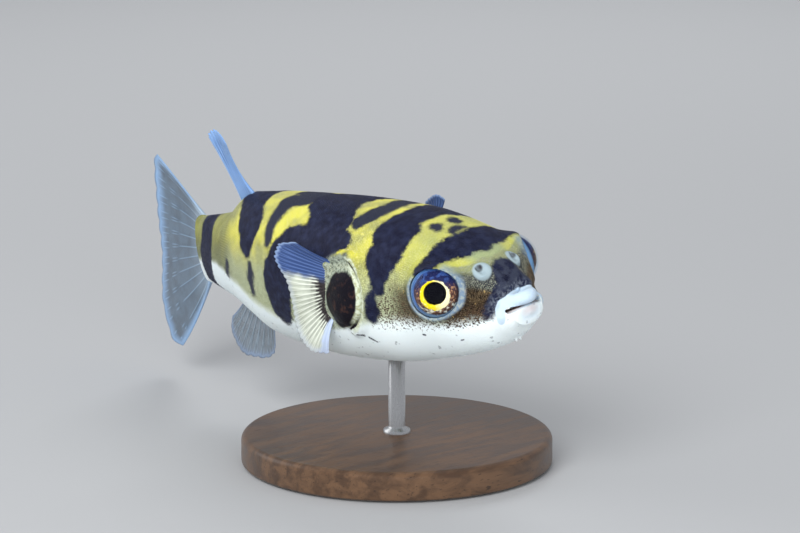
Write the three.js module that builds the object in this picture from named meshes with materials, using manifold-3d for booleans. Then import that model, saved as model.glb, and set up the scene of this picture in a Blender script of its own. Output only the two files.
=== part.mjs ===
// Amazon puffer (Colomesus asellus), a still life-size adult hovering on a display stand.
// Millimetres, +X towards the snout, +Y to the fish's left, +Z up; the origin is under the middle of the stand.
// The body is drawn by how far a point lies ALONG the spine, back from the lips, and AROUND it, from the mid-back
// down the left flank. The tail bends to the left and the fish banks a little to its right.

import * as THREE from "three";
import { mergeVertices } from "three/addons/utils/BufferGeometryUtils.js";
import Module from "manifold-3d";

const wasm = await Module();
wasm.setup();

// ---------------------------------------------------------------- driving dimensions

const STANDARD_LENGTH = 75; // lips to the root of the caudal fin
const TRUNK_DEPTH = 22.6; // the deepest section
const GAP = 0.3; // left between pieces that meet
const FIN_THICKNESS = 0.6;

const GILL_ALONG = 20.6; // head meets trunk
const STALK_ALONG = 62; // trunk meets tail stalk, behind the dorsal and anal fins

const BEND_START = 40; // the spine is straight this far back from the lips
const TAIL_BEND = THREE.MathUtils.degToRad(16);
const BEND_RADIUS = (STANDARD_LENGTH - BEND_START) / TAIL_BEND;
const TAIL_DROOP = 1.5; // how far the spine sinks by the tail root

const AXIS_HEIGHT = 26.5; // spine above the floor, over the rod
const ROD_ALONG = 26;
const NOSE_UP = THREE.MathUtils.degToRad(4);
const BANK = THREE.MathUtils.degToRad(9); // towards the right side

const EYE = { along: 10, out: 7.3, up: 1.5, radius: 3.5 };
const ORBIT = { swell: 1.3, length: 4.4, around: THREE.MathUtils.degToRad(82), breadth: 0.6 }; // flesh round the eye
const NOSTRIL = { along: 4.4, out: 3.0, up: 3.5, radius: 1.2, height: 2.6 };
const MOUTH = { up: -1.4, halfWidth: 3, sweep: 2.3, lip: 0.95, parting: 0.9 };

const BASE = { radius: 22, thickness: 4, edge: 0.9 };
const ROD_RADIUS = 1.2;

// ---------------------------------------------------------------- body sections

// Each row is one named section: distance along, height of the back above the spine, depth of the belly below it,
// half width, and how square the back and the belly are (2 is round).
const SECTIONS = [
  { name: "lips", along: 0, back: 0.8, belly: 4.4, half: 3.2, backSquare: 2.2, bellySquare: 2.2 },
  { name: "nostrils", along: 5, back: 4.9, belly: 7.6, half: 6.2, backSquare: 2.3, bellySquare: 2.4 },
  { name: "eyes", along: 10.4, back: 7.9, belly: 9.2, half: 8.1, backSquare: 2.5, bellySquare: 2.5 },
  { name: "nape", along: 16, back: 9.4, belly: 10.3, half: 9.4, backSquare: 2.4, bellySquare: 2.5 },
  { name: "gill", along: 22, back: 10.1, belly: 11.3, half: 10.2, backSquare: 2.3, bellySquare: 2.4 },
  { name: "mid", along: 34, back: 10.6, belly: TRUNK_DEPTH - 10.6, half: 9.8, backSquare: 2.3, bellySquare: 2.3 },
  { name: "vent", along: 49, back: 10.5, belly: 10.9, half: 7.8, backSquare: 2.2, bellySquare: 2.2 },
  { name: "fins", along: 56, back: 9.6, belly: 8.9, half: 6, backSquare: 2.1, bellySquare: 2.1 },
  { name: "stalk", along: 62, back: 6.8, belly: 7.0, half: 4.3, backSquare: 2.1, bellySquare: 2.1 },
  { name: "tail root", along: STANDARD_LENGTH, back: 5.0, belly: 5.1, half: 1.6, backSquare: 2, bellySquare: 2 },
];
const SNOUT_ROUNDING = 2.2; // the front of the snout is rounded over this length

// Monotone cubic through (x, y) pairs: no overshoot between sections.
function curveThrough(xs, ys) {
  const last = xs.length - 1;
  const slope = (i) => (ys[i + 1] - ys[i]) / (xs[i + 1] - xs[i]);
  const tangent = (i) => {
    if (i === 0) return slope(0);
    if (i === last) return slope(last - 1);
    const before = slope(i - 1);
    const after = slope(i);
    return before * after <= 0 ? 0 : (2 * before * after) / (before + after);
  };
  return (x) => {
    const at = Math.min(Math.max(x, xs[0]), xs[last]);
    let i = 0;
    while (i < last - 1 && at > xs[i + 1]) i++;
    const width = xs[i + 1] - xs[i];
    const t = (at - xs[i]) / width;
    const s = 1 - t;
    return (
      ys[i] * (1 + 2 * t) * s * s +
      ys[i + 1] * (3 - 2 * t) * t * t +
      (tangent(i) * s - tangent(i + 1) * t) * t * s * width
    );
  };
}

const sectionAlong = SECTIONS.map((section) => section.along);
const profile = (key) => curveThrough(sectionAlong, SECTIONS.map((section) => section[key]));
const back = profile("back");
const belly = profile("belly");
const half = profile("half");
const backSquare = profile("backSquare");
const bellySquare = profile("bellySquare");

// The point of the spine this far along, with the level directions forward and left there.
function spineAt(along) {
  const angle = Math.max(0, (along - BEND_START) / BEND_RADIUS);
  const forward = new THREE.Vector3(Math.cos(angle), -Math.sin(angle), 0);
  const left = new THREE.Vector3(Math.sin(angle), Math.cos(angle), 0);
  const straight = Math.min(along, BEND_START);
  const point = new THREE.Vector3(ROD_ALONG - straight - BEND_RADIUS * Math.sin(angle), 0, 0);
  point.y = BEND_RADIUS * (1 - Math.cos(angle));
  point.z = -TAIL_DROOP * (angle / TAIL_BEND) ** 2;
  return { point, forward, left };
}

const fishPoint = (along, out, up) => {
  const spine = spineAt(along);
  return spine.point.clone().addScaledVector(spine.left, out).add(new THREE.Vector3(0, 0, up));
};

const signedPower = (value, power) => Math.sign(value) * Math.abs(value) ** power;

// How far the flesh round the eye stands out from the head.
function orbitSwell(along, around) {
  const fromMidBack = Math.PI - Math.abs(Math.PI - around);
  const lengthwise = (along - EYE.along) / ORBIT.length;
  const aroundwise = (fromMidBack - ORBIT.around) / ORBIT.breadth;
  return ORBIT.swell * Math.exp(-(lengthwise ** 2) - aroundwise ** 2);
}

// A point of the skin, or of the skin grown outwards.
function skinPoint(along, around, grow = 0) {
  const inSnout = Math.min(1, (along + grow) / SNOUT_ROUNDING);
  const rounding = Math.sqrt(Math.max(0, 1 - (1 - inSnout) ** 2));
  const above = Math.cos(around) > 0;
  const power = 2 / (above ? backSquare(along) : bellySquare(along));
  const rise = (above ? back(along) : belly(along)) * rounding + grow;
  const out = (half(along) * rounding + grow) * signedPower(Math.sin(around), power);
  const up = rise * signedPower(Math.cos(around), power);
  const swollen = 1 + orbitSwell(along, around) / Math.hypot(out, up);
  return fishPoint(along, out * swollen, up * swollen);
}

// ---------------------------------------------------------------- meshes

// A closed mesh through rings of equally many points, with each end closed straight across.
function meshThrough(rings) {
  const count = rings[0].length;
  const index = [];
  const quad = (a, b, c, d) => index.push(a, b, c, a, c, d);
  for (let ring = 0; ring + 1 < rings.length; ring++) {
    for (let k = 0; k < count; k++) {
      const a = ring * count + k;
      const b = ring * count + ((k + 1) % count);
      quad(a, b, b + count, a + count);
    }
  }
  const end = (rings.length - 1) * count;
  for (let k = 0; k < count / 2 - 1; k++) {
    const across = count - 1 - k;
    quad(k + 1, k, across, across - 1);
    quad(end + k, end + k + 1, end + across - 1, end + across);
  }
  const geometry = new THREE.BufferGeometry().setFromPoints(rings.flat());
  geometry.setIndex(index);
  return outwards(geometry);
}

// The same mesh with its faces pointing out.
function outwards(geometry) {
  const index = geometry.index.array;
  const at = (i) => new THREE.Vector3().fromBufferAttribute(geometry.attributes.position, index[i]);
  let volume = 0;
  for (let i = 0; i < index.length; i += 3) volume += at(i).dot(at(i + 1).cross(at(i + 2)));
  if (volume < 0) {
    for (let i = 0; i < index.length; i += 3) [index[i + 1], index[i + 2]] = [index[i + 2], index[i + 1]];
  }
  return geometry;
}

function toSolid(geometry) {
  const bare = geometry.clone();
  bare.deleteAttribute("normal");
  bare.deleteAttribute("uv");
  const merged = mergeVertices(bare, 1e-4);
  return new wasm.Manifold(
    new wasm.Mesh({
      numProp: 3,
      vertProperties: new Float32Array(merged.attributes.position.array),
      triVerts: new Uint32Array(merged.index.array),
    }),
  );
}

function toGeometry(solid) {
  const mesh = solid.getMesh();
  const geometry = new THREE.BufferGeometry();
  geometry.setAttribute("position", new THREE.BufferAttribute(mesh.vertProperties, 3));
  geometry.setIndex(new THREE.BufferAttribute(mesh.triVerts, 1));
  return geometry;
}

const cut = (geometry, ...cutters) =>
  toGeometry(cutters.reduce((solid, cutter) => solid.subtract(toSolid(cutter)), toSolid(geometry)));

const steps = (from, to, count) => Array.from({ length: count + 1 }, (_, i) => from + ((to - from) * i) / count);

// ---------------------------------------------------------------- body pieces

const AROUND_STEPS = 32;

function bodyBetween(from, to, lengthSteps, grow = 0) {
  const ringAt = (along) =>
    steps(0, 2 * Math.PI, AROUND_STEPS).slice(0, -1).map((around) => skinPoint(along, around, grow));
  return meshThrough(steps(from, to, lengthSteps).map(ringAt));
}

// A rounded bar that follows a curve, with its own radii out and up at each end and in between.
function barAlong(curve, radiusAt, curveSteps, sides = 10) {
  const ringAt = (t) => {
    const middle = curve.getPoint(t);
    const tangent = curve.getTangent(t);
    const side = new THREE.Vector3(0, 0, 1).cross(tangent).normalize();
    const up = tangent.clone().cross(side);
    const { wide, tall } = radiusAt(t);
    return steps(0, 2 * Math.PI, sides).slice(0, -1).map((angle) =>
      middle.clone()
        .addScaledVector(side, wide * Math.cos(angle))
        .addScaledVector(up, tall * Math.sin(angle)),
    );
  };
  return meshThrough(steps(0, 1, curveSteps).map(ringAt));
}

const mirrored = (side) => (side === "left" ? 1 : -1);

// The lips are two bars round the front of the snout, from corner to corner of the mouth.
function lipCurve(up, cornerDrop) {
  const points = steps(-1, 1, 8).map((across) => {
    const corner = across * across;
    const x = ROD_ALONG + 0.55 - MOUTH.sweep * corner;
    return new THREE.Vector3(x, MOUTH.halfWidth * across, up - cornerDrop * corner * corner);
  });
  return new THREE.CatmullRomCurve3(points);
}

function lip(up, cornerDrop, grow = 0) {
  const radiusAt = (t) => {
    const fade = Math.sqrt(1 - (2 * t - 1) ** 4) * 0.55 + 0.45;
    return { wide: MOUTH.lip * 1.15 * fade + grow, tall: MOUTH.lip * fade + grow };
  };
  return barAlong(lipCurve(up, cornerDrop), radiusAt, 14);
}

const UPPER_LIP = [MOUTH.up + MOUTH.parting + MOUTH.lip * 0.3, 0.6];
const LOWER_LIP = [MOUTH.up - MOUTH.parting - MOUTH.lip * 0.3, -0.35];

// An eyeball, centred on the head's side.
function eyeball(grow = 0) {
  return new THREE.SphereGeometry(EYE.radius + grow, 20, 12);
}

const eyeCentre = (side) => fishPoint(EYE.along, mirrored(side) * EYE.out, EYE.up);

// A short round tube of flesh that stands on the snout, with its opening at the top.
function nostril(grow = 0) {
  const { radius, height } = NOSTRIL;
  const outline = [
    [0, -height / 2 - grow],
    [radius * 0.9 + grow, -height / 2 - grow],
    [radius + grow, height * 0.2],
    [radius * 0.8 + grow, height * 0.45 + grow],
    [grow ? 0 : radius * 0.45, height / 2 + grow],
  ];
  if (!grow) outline.push([radius * 0.35, height * 0.3], [0, height * 0.3]);
  const profilePoints = outline.map(([r, z]) => new THREE.Vector2(r, z));
  const geometry = new THREE.LatheGeometry(profilePoints, 14);
  geometry.rotateX(Math.PI / 2);
  return geometry;
}

function placeNostril(geometry, side) {
  const tilt = new THREE.Vector3(0.35, mirrored(side) * 0.45, 1).normalize();
  geometry.applyQuaternion(new THREE.Quaternion().setFromUnitVectors(new THREE.Vector3(0, 0, 1), tilt));
  const place = fishPoint(NOSTRIL.along, mirrored(side) * NOSTRIL.out, NOSTRIL.up);
  return geometry.translate(place.x, place.y, place.z);
}

function head() {
  const cutters = [lip(...UPPER_LIP, GAP), lip(...LOWER_LIP, GAP)];
  for (const side of ["left", "right"]) {
    const centre = eyeCentre(side);
    cutters.push(eyeball(GAP).translate(centre.x, centre.y, centre.z));
    cutters.push(placeNostril(nostril(GAP), side));
  }
  return cut(bodyBetween(0.15, GILL_ALONG - GAP / 2, 13), ...cutters);
}

// ---------------------------------------------------------------- fins

// A fin is a fan of rays: ray(t) gives each ray's root, tip and sideways bow for t from 0 to 1 across the fan.
// It is thickest at the root and swells a little over each ray.
function fin(ray, rayCount, lengthSteps, thickness = FIN_THICKNESS) {
  const sheetPoint = (t, r) => {
    const { root, tip, bow } = ray(t);
    return root.clone().lerp(tip, r).addScaledVector(bow, 4 * r * (1 - r));
  };
  const normalAt = (t, r) => {
    const step = 1e-3;
    const across = sheetPoint(t + step, r).sub(sheetPoint(t - step, r));
    const along = sheetPoint(t, r + step).sub(sheetPoint(t, r - step));
    return across.cross(along).normalize();
  };
  const halfThickness = (t, r) => {
    const ridge = 0.5 - 0.5 * Math.cos(2 * Math.PI * rayCount * t);
    return thickness * (0.42 + 0.16 * ridge + 0.35 * (1 - r) ** 2);
  };
  const ringAt = (t) => {
    const face = (sign) => (r) =>
      sheetPoint(t, r).addScaledVector(normalAt(t, r), sign * halfThickness(t, r));
    const outwardsSteps = steps(0, 1, lengthSteps);
    return [...outwardsSteps.map(face(1)), ...outwardsSteps.reverse().map(face(-1))];
  };
  return meshThrough(steps(0, 1, 2 * rayCount).map(ringAt));
}

const rooted = (geometry) => cut(geometry, bodyBetween(0.5, STANDARD_LENGTH + 0.01, 40, GAP));

// Caudal fin: a nearly straight-edged fan, spread wide.
const CAUDAL = { length: 18.5, spread: 30, rays: 11, droop: 2.5, twist: 0.11 };

function caudalFin() {
  const spine = spineAt(STANDARD_LENGTH);
  const ray = (t) => {
    const across = 1 - 2 * t;
    const angle = THREE.MathUtils.degToRad(CAUDAL.spread) * across;
    const root = fishPoint(STANDARD_LENGTH - 1.2, 0, 4.6 * across);
    const reach = CAUDAL.length / Math.cos(angle * 0.92);
    const tip = root.clone().addScaledVector(spine.forward, -reach * Math.cos(angle));
    tip.z += reach * Math.sin(angle) - CAUDAL.droop;
    for (const point of [root, tip]) point.addScaledVector(spine.left, CAUDAL.twist * (point.z - spine.point.z));
    return { root, tip, bow: spine.left.clone().multiplyScalar(0.5 * Math.sin(3 * across)) };
  };
  return rooted(fin(ray, CAUDAL.rays, 6));
}

// Dorsal and anal fins: paddles near the tail, both leaning to the right in mid-stroke. The rays lean back by the
// rake, more by the spread towards the rear.
const MEDIAN_RAYS = 8;
const DORSAL = { upwards: 1, along: 52, base: 6.5, length: 11.2, lean: 0.42, rake: 0.22, spread: 0.1 };
const ANAL = { upwards: -1, along: 54, base: 7.5, length: 7, lean: 0.25, rake: 0.55, spread: 0.7 };

function medianFin({ upwards, along, base, length, lean, rake, spread }) {
  const ray = (t) => {
    const rootAlong = along + base * t;
    const spine = spineAt(rootAlong);
    const rim = upwards > 0 ? back(rootAlong) : belly(rootAlong);
    const root = fishPoint(rootAlong, 0, upwards * (rim - 1.4));
    const paddle = length * (0.8 + 0.35 * Math.sin(Math.PI * (0.25 + 0.6 * t)));
    const direction = spine.forward.clone().multiplyScalar(-rake - spread * (t - 0.5))
      .addScaledVector(spine.left, -lean + 0.15 * (t - 0.5));
    direction.z = upwards;
    const tip = root.clone().addScaledVector(direction.normalize(), paddle);
    return { root, tip, bow: spine.left.clone().multiplyScalar(0.5) };
  };
  return rooted(fin(ray, MEDIAN_RAYS, 6));
}

// Pectoral fins: broad fans on an upright root behind the gill opening. Each stroke gives how far the rays point
// back, out and up, as [top ray, bottom ray]: the beat passes down the fin, and the two sides are out of step.
const PECTORAL = { along: 27.2, out: 8.9, rays: 11, reach: [9.8, 5.6], rootUp: [4.4, -3.4] };
const STROKES = {
  right: { back: [0.85, -0.2], out: [0.6, 0.9], rise: [0.35, -1] },
  left: { back: [0.4, 0.9], out: [0.85, 0.8], rise: [0.32, -0.7] },
};

function pectoralFin(side) {
  const stroke = STROKES[side];
  const between = ([top, bottom], t) => THREE.MathUtils.lerp(top, bottom, t);
  const ray = (t) => {
    const along = PECTORAL.along + 0.9 * Math.sin(Math.PI * t);
    const spine = spineAt(along);
    const outwardsOnSide = spine.left.clone().multiplyScalar(mirrored(side));
    const root = fishPoint(along, mirrored(side) * PECTORAL.out, between(PECTORAL.rootUp, t));
    const direction = spine.forward.clone().multiplyScalar(-between(stroke.back, t))
      .addScaledVector(outwardsOnSide, between(stroke.out, t));
    direction.z = between(stroke.rise, t);
    const tip = root.clone().addScaledVector(direction.normalize(), between(PECTORAL.reach, t));
    return { root, tip, bow: outwardsOnSide.multiplyScalar(0.5) };
  };
  return rooted(fin(ray, PECTORAL.rays, 5));
}

// ---------------------------------------------------------------- stand

function standBase() {
  const { radius, thickness, edge } = BASE;
  const outline = [[0, 0], [radius - edge / 2, 0], [radius, edge / 2], [radius, thickness - edge]];
  for (const turn of [30, 60, 90].map(THREE.MathUtils.degToRad)) {
    outline.push([radius - edge * (1 - Math.cos(turn)), thickness - edge * (1 - Math.sin(turn))]);
  }
  outline.push([0, thickness]);
  return new THREE.LatheGeometry(outline.map(([r, z]) => new THREE.Vector2(r, z)), 40).rotateX(Math.PI / 2);
}

// The rod stands on the base and stops just under the banked belly.
function standRod(fish) {
  const bottom = BASE.thickness + GAP;
  const top = AXIS_HEIGHT - belly(ROD_ALONG) + 1;
  const rod = new THREE.CylinderGeometry(ROD_RADIUS, ROD_RADIUS, top - bottom, 20).rotateX(Math.PI / 2);
  rod.translate(0, 0, (top + bottom) / 2);
  const grown = bodyBetween(ROD_ALONG - 6, ROD_ALONG + 6, 8, GAP).applyMatrix4(fish.matrix);
  return cut(rod, grown);
}

// ---------------------------------------------------------------- the model

const material = (color, roughness, metalness = 0) => new THREE.MeshStandardMaterial({ color, roughness, metalness });
const SKIN = material(0xc9c47a, 0.45);
const LIP = material(0xcfe0ee, 0.4);
const FIN = material(0x8fb2dc, 0.4);
const EYE_GOLD = material(0xd8b62a, 0.15);
const WOOD = material(0x3b2617, 0.5);
const STEEL = material(0xb8babd, 0.3, 1);

const fish = new THREE.Group();
fish.position.z = AXIS_HEIGHT;
fish.rotation.set(BANK, -NOSE_UP, 0);
fish.updateMatrix();

const puffer = new THREE.Group();
puffer.add(fish);

function addPiece(group, name, geometry, look) {
  const mesh = new THREE.Mesh(geometry, look);
  mesh.name = name;
  group.add(mesh);
  return mesh;
}

addPiece(fish, "head", head(), SKIN);
addPiece(fish, "trunk", bodyBetween(GILL_ALONG + GAP / 2, STALK_ALONG - GAP / 2, 15), SKIN);
addPiece(fish, "tail_stalk", bodyBetween(STALK_ALONG + GAP / 2, STANDARD_LENGTH, 6), SKIN);
addPiece(fish, "upper_lip", lip(...UPPER_LIP), LIP);
addPiece(fish, "lower_lip", lip(...LOWER_LIP), LIP);
addPiece(fish, "caudal_fin", caudalFin(), FIN);
addPiece(fish, "dorsal_fin", medianFin(DORSAL), FIN);
addPiece(fish, "anal_fin", medianFin(ANAL), FIN);
for (const side of ["left", "right"]) {
  addPiece(fish, `eye_${side}`, eyeball(), EYE_GOLD).position.copy(eyeCentre(side));
  addPiece(fish, `nostril_${side}`, placeNostril(nostril(), side), LIP);
  addPiece(fish, `pectoral_fin_${side}`, pectoralFin(side), FIN);
}
addPiece(puffer, "stand_base", standBase(), WOOD);
addPiece(puffer, "stand_rod", standRod(fish), STEEL);

export default puffer;
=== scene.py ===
"""Amazon puffer (Colomesus asellus), a still life-size model on a plain display stand.

The fish is shaped in its own straight frame, in millimetres: `along` runs back from the lips, `out` to its
left and `up` above the spine. `bent` curves that frame along the spine, and `settle` tilts it into the row
frame, in metres.
"""
import math
import bpy
import numpy as np
import openvdb
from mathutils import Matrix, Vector
from mathutils.bvhtree import BVHTree


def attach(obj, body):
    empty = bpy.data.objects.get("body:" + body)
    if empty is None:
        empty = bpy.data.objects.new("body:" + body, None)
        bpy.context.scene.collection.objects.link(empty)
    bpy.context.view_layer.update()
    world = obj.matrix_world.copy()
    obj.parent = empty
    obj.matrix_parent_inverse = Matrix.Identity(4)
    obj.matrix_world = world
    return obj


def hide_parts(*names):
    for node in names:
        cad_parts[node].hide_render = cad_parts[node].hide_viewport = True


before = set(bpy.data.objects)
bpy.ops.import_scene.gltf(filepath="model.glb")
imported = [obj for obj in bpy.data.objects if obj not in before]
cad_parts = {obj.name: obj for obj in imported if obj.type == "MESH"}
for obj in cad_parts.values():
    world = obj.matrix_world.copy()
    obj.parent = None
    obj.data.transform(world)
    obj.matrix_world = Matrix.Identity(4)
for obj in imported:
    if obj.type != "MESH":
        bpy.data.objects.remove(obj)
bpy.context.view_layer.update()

MM = 0.001
UP = np.array([0, 0, 1.0])
rng = np.random.default_rng(7)

# ------------------------------ body dimensions

STANDARD_LENGTH = 75.0
BEND_START = 40.0
TAIL_BEND = math.radians(16)
BEND_RADIUS = (STANDARD_LENGTH - BEND_START) / TAIL_BEND
TAIL_DROOP = 1.5
AXIS_HEIGHT = 26.5
ROD_ALONG = 26.0
NOSE_UP = math.radians(4)
BANK = math.radians(9)
EYE_AT = np.array([9.75, 7.05, 1.6])
EYE_RADIUS = 3.8
ORBIT = {"swell": 1.3, "length": 4.4, "around": math.radians(82), "breadth": 0.6}
SNOUT_ROUNDING = 2.2

# along, back, belly, half width, squareness of the back and of the belly
SECTIONS = np.array([
    (0.0, 0.8, 4.4, 3.2, 2.2, 2.2),
    (5.0, 4.5, 7.6, 6.2, 2.3, 2.4),
    (10.4, 7.5, 9.2, 8.1, 2.5, 2.5),
    (16.0, 9.2, 10.3, 9.4, 2.4, 2.5),
    (22.0, 10.1, 11.3, 10.2, 2.3, 2.4),
    (34.0, 10.6, 12.0, 9.8, 2.3, 2.3),
    (49.0, 10.5, 10.9, 7.8, 2.2, 2.2),
    (56.0, 9.6, 8.9, 6.0, 2.1, 2.1),
    (62.0, 6.8, 7.0, 4.3, 2.1, 2.1),
    (75.0, 5.0, 5.1, 1.6, 2.0, 2.0),
])


def curve_through(xs, ys):
    """Monotone cubic through the points, flat at a turning point."""
    slope = np.diff(ys) / np.diff(xs)
    tangent = np.concatenate([slope[:1], np.zeros(len(xs) - 2), slope[-1:]])
    for i in range(1, len(xs) - 1):
        before, after = slope[i - 1], slope[i]
        tangent[i] = 0 if before * after <= 0 else 2 * before * after / (before + after)

    def value(x):
        x = np.clip(x, xs[0], xs[-1])
        i = np.clip(np.searchsorted(xs, x, side="right") - 1, 0, len(xs) - 2)
        width = xs[i + 1] - xs[i]
        t = (x - xs[i]) / width
        s = 1 - t
        ends = ys[i] * (1 + 2 * t) * s * s + ys[i + 1] * (3 - 2 * t) * t * t
        return ends + (tangent[i] * s - tangent[i + 1] * t) * t * s * width

    return value


back, belly, half, back_square, belly_square = (
    curve_through(SECTIONS[:, 0], SECTIONS[:, k]) for k in range(1, 6))


def smooth_step(low, high, x):
    t = np.clip((x - low) / (high - low), 0, 1)
    return t * t * (3 - 2 * t)


# ------------------------------ posture

def turn(axis, angle):
    c, s = math.cos(angle), math.sin(angle)
    return {"x": np.array([[1, 0, 0], [0, c, -s], [0, s, c]]),
            "y": np.array([[c, 0, s], [0, 1, 0], [-s, 0, c]])}[axis]


POSTURE = turn("x", BANK) @ turn("y", -NOSE_UP)


def settle(points):
    """From the bent fish's frame to the row frame, in metres."""
    return (points @ POSTURE.T + [0, 0, AXIS_HEIGHT]) * MM


def spine(along):
    """Point of the spine, and the level directions forward and left there."""
    angle = np.maximum(0, (along - BEND_START) / BEND_RADIUS)
    c, s, zero = np.cos(angle), np.sin(angle), np.zeros_like(angle)
    point = np.stack([ROD_ALONG - np.minimum(along, BEND_START) - BEND_RADIUS * s, BEND_RADIUS * (1 - c),
                      -TAIL_DROOP * (angle / TAIL_BEND) ** 2], -1)
    return point, np.stack([c, -s, zero], -1), np.stack([s, c, zero], -1)


def bent(along, out, up):
    along, out, up = (np.asarray(v, float) for v in np.broadcast_arrays(along, out, up))
    point, _, left = spine(along)
    return point + left * out[..., None] + UP * up[..., None]


# ------------------------------ skin as a distance field

def smooth_union(a, b, k):
    h = np.maximum(k - np.abs(a - b), 0) / k
    return np.minimum(a, b) - h * h * k * 0.25


def smooth_cut(a, b, k):
    """a with b taken away."""
    return -smooth_union(-a, b, k)


def around_of(along, out, up):
    """Angle from the mid-back, 0, down either flank to the mid-belly, pi."""
    square = np.where(up > 0, back_square(along), belly_square(along))
    rise = np.where(up > 0, back(along), belly(along))
    angle = np.arctan2((np.abs(out) / half(along)) ** (square / 2),
                       np.maximum(np.abs(up) / rise, 1e-6) ** (square / 2))
    return np.where(up > 0, angle, math.pi - angle)


def body_radial(along, out, up):
    """How far a point lies outside the body, measured away from the spine."""
    inside = np.clip(along / SNOUT_ROUNDING, 0, 1)
    rounding = np.sqrt(np.maximum(1e-4, 1 - (1 - inside) ** 2))
    square = np.where(up > 0, back_square(along), belly_square(along))
    rise = np.where(up > 0, back(along), belly(along)) * rounding
    wide, high = np.abs(out) / (half(along) * rounding), np.abs(up) / rise
    share = (wide ** square + high ** square) ** (1 / square)
    lengthwise = ((along - EYE_AT[0]) / ORBIT["length"]) ** 2
    angle = around_of(along, out, up)
    swell = ORBIT["swell"] * np.exp(-lengthwise - ((angle - ORBIT["around"]) / ORBIT["breadth"]) ** 2)
    reach = np.hypot(out, up)
    radial = reach - reach / np.maximum(share, 1e-6) - swell
    return np.where(along < 0, np.hypot(reach, along), radial)


def ball(p, centre, radii):
    """Distance to an ellipsoid, close to its surface."""
    q = (p - np.asarray(centre, float)) / np.asarray(radii, float)
    k0 = np.linalg.norm(q, axis=-1)
    k1 = np.linalg.norm(q / np.asarray(radii, float), axis=-1)
    return k0 * (k0 - 1) / np.maximum(k1, 1e-6)


def tube(p, points, radii):
    """Distance to a rounded tube of changing radius through the points."""
    points, radii = np.asarray(points, float), np.asarray(radii, float)
    best = np.full(p.shape[:-1], 1e3)
    for a, b, ra, rb in zip(points[:-1], points[1:], radii[:-1], radii[1:]):
        ab = b - a
        t = np.clip(((p - a) @ ab) / (ab @ ab), 0, 1)
        d = np.linalg.norm(p - a - t[..., None] * ab, axis=-1) - (ra + (rb - ra) * t)
        best = np.minimum(best, d)
    return best


def unit(v):
    v = np.asarray(v, float)
    return v / np.linalg.norm(v)


EYE_COLLAR_AXIS = unit([-0.45, 0.88, 0.13])
NOSTRIL_AT = np.array([5.2, 2.85, 3.3])
NOSTRIL_TILT = unit([-0.8, 0.3, 0.8])
NOSTRIL_HOLE = NOSTRIL_AT + 0.65 * NOSTRIL_TILT + [0.25, 0.25, 0.45]
SOCKET_GAP = 0.03
CUP_RADIUS, CUP_HEIGHT, CUP_RIM = 1.0, 0.45, 0.34
MOUTH_STEPS = np.linspace(0, 1, 9)


def mouth_line(along, up, corner_up, width, sweep):
    """Points from the middle of the mouth to its corner."""
    c = MOUTH_STEPS
    return np.stack([along + sweep * c ** 2, width * c, up + (corner_up - up) * c ** 3], -1)


UPPER_LIP = np.vstack([mouth_line(0.0, -0.42, -0.75, width=2.2, sweep=1.75), [
    (2.05, 2.7, -1.0), (1.95, 3.35, -1.35), (1.75, 3.7, -1.8), (1.6, 3.85, -2.4), (1.7, 3.8, -2.9)]])
UPPER_ROLL = np.concatenate([0.95 - 0.30 * MOUTH_STEPS ** 2, [0.55, 0.42, 0.38, 0.32, 0.2]])
LOWER_LIP = mouth_line(0.42, -2.6, -2.5, width=2.3, sweep=1.8)
LOWER_ROLL = 0.70 - 0.25 * MOUTH_STEPS ** 2
SLIT = mouth_line(-0.15, -1.5, -1.75, width=2.75, sweep=2.05)
SLIT_SQUEEZE = np.array([0.35, 1, 1.6])
SLIT_ROLL = 0.30 + 0.28 * MOUTH_STEPS ** 3
LOBE = [(25.7, 9.2, 0.3), (26.7, 9.3, -1.1), (27.5, 9.2, -2.9)]
LOBE_RADII = [3.5, 3.2, 1.8]
GILL_SLIT = [(24.6, 9.3, 5.4), (23.1, 9.7, 4.0), (22.1, 10.1, 2.0), (22.1, 10.2, 0.0), (22.8, 10.2, -2.0),
             (24.4, 10.0, -3.8), (26.0, 9.9, -4.8)]


def lid_thickness(from_eye):
    """Thin above the eye, a thick fold before it."""
    ahead, _, high = from_eye.T / np.maximum(np.linalg.norm(from_eye, axis=-1), 0.1)
    fold = smooth_step(0.35, 0.9, -ahead) * smooth_step(0.75, 0.3, np.abs(high))
    return 0.34 + 0.42 * fold - 0.12 * smooth_step(0.3, 0.8, high)


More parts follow.
